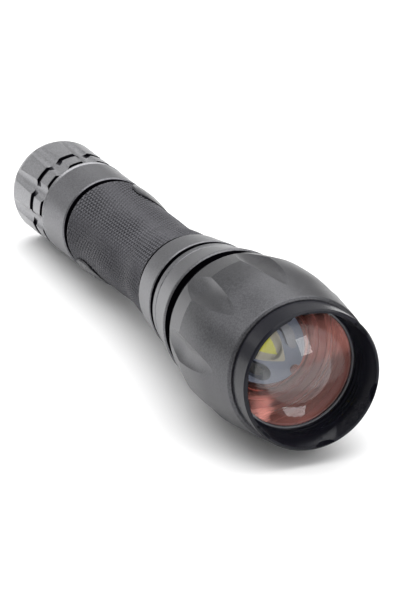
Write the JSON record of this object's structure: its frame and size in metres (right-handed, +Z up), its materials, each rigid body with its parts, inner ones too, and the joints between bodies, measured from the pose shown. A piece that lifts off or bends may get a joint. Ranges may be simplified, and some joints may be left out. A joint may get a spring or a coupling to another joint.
{
  "type": "zoomable torch",
  "caption": "Hand torch with a sliding zoom head, convex lens, knurled grip, screw-on tail cap and rubber-covered tail switch.",
  "frame": {"origin": "centre of the tail cap's rear face, on the torch's axis", "axes": "+X along the torch's axis towards the lens, +Z up with the torch lying on its side"},
  "size_m": [0.1541, 0.0392, 0.0392],
  "materials": {
    "grey_anodised": "gunmetal satin anodised",
    "black_anodised": "glossy black anodised",
    "bare_aluminium": "turned",
    "black_rubber": "matte",
    "black_plastic": "matte",
    "white_plastic": "matte",
    "spring_steel": "bright nickel plated",
    "circuit_board": "solder mask",
    "cell_wrap": "shrink wrap",
    "copper_module": "copper, turned",
    "star_white": "solder mask",
    "solder": "solder",
    "led_ceramic": "ceramic",
    "led_phosphor": "phosphor",
    "clear_silicone": "clear silicone",
    "red_wire": "insulation",
    "black_wire": "insulation",
    "pale_gasket": "translucent silicone",
    "lens_glass": "clear moulded lens"
  },
  "bodies": {
    "barrel": {"battery_tube": "grey_anodised", "grip_pads": "black_anodised", "tail_seal": "black_rubber", "cell": "cell_wrap", "neck": "grey_anodised", "neck_seal": "black_rubber", "slide_seal": "black_rubber", "stop_ring": "spring_steel", "light_module": "copper_module", "star_board": "star_white", "solder_pads": "solder", "led_package": "led_ceramic", "led_die": "led_phosphor", "led_dome": "clear_silicone", "driver_board": "circuit_board", "driver_parts": "black_plastic", "driver_ring": "bare_aluminium", "driver_spring": "spring_steel", "wire_red": "red_wire", "wire_black": "black_wire"},
    "head_guide": {"guide_ring": "white_plastic"},
    "head": {"head_shell": "grey_anodised", "strike_bezel": "black_anodised", "lens_gasket": "pale_gasket", "lens": "lens_glass", "lens_seal": "black_rubber", "lens_ring": "black_anodised"},
    "cap_spring": {"tail_spring": "spring_steel"},
    "cap": {"tail_cap": "grey_anodised", "boot_washer": "white_plastic", "switch_body": "black_plastic", "switch_board": "circuit_board", "switch_ring": "bare_aluminium", "switch_spring": "spring_steel"},
    "button": {"switch_plunger": "black_plastic", "switch_boot": "black_rubber"}
  },
  "joints": [
    {"name": "zoom_slide", "type": "slide", "parent": "barrel", "child": "head_guide", "axis": [1, 0, 0], "range_m": [-0.0032, 0.0047]},
    {"name": "head_spin", "type": "hinge", "parent": "head_guide", "child": "head", "pos_m": [0.12, 0, 0], "axis": [1, 0, 0], "continuous": true},
    {"name": "tail_cap_travel", "type": "slide", "parent": "barrel", "child": "cap_spring", "axis": [1, 0, 0], "range_m": [-0.006, 0], "deforming": ["tail_spring"]},
    {"name": "tail_cap_turn", "type": "hinge", "parent": "cap_spring", "child": "cap", "pos_m": [0.01, 0, 0], "axis": [1, 0, 0], "range_deg": [-2160, 0]},
    {"name": "button_press", "type": "slide", "parent": "cap", "child": "button", "axis": [1, 0, 0], "range_m": [0, 0.0018], "stiffness_N_per_m": 800, "deforming": ["switch_boot", "switch_spring"]}
  ],
  "couplings": [
    {"joint": "tail_cap_travel", "follows": "tail_cap_turn", "m_per_rad": 0.00015915}
  ]
}
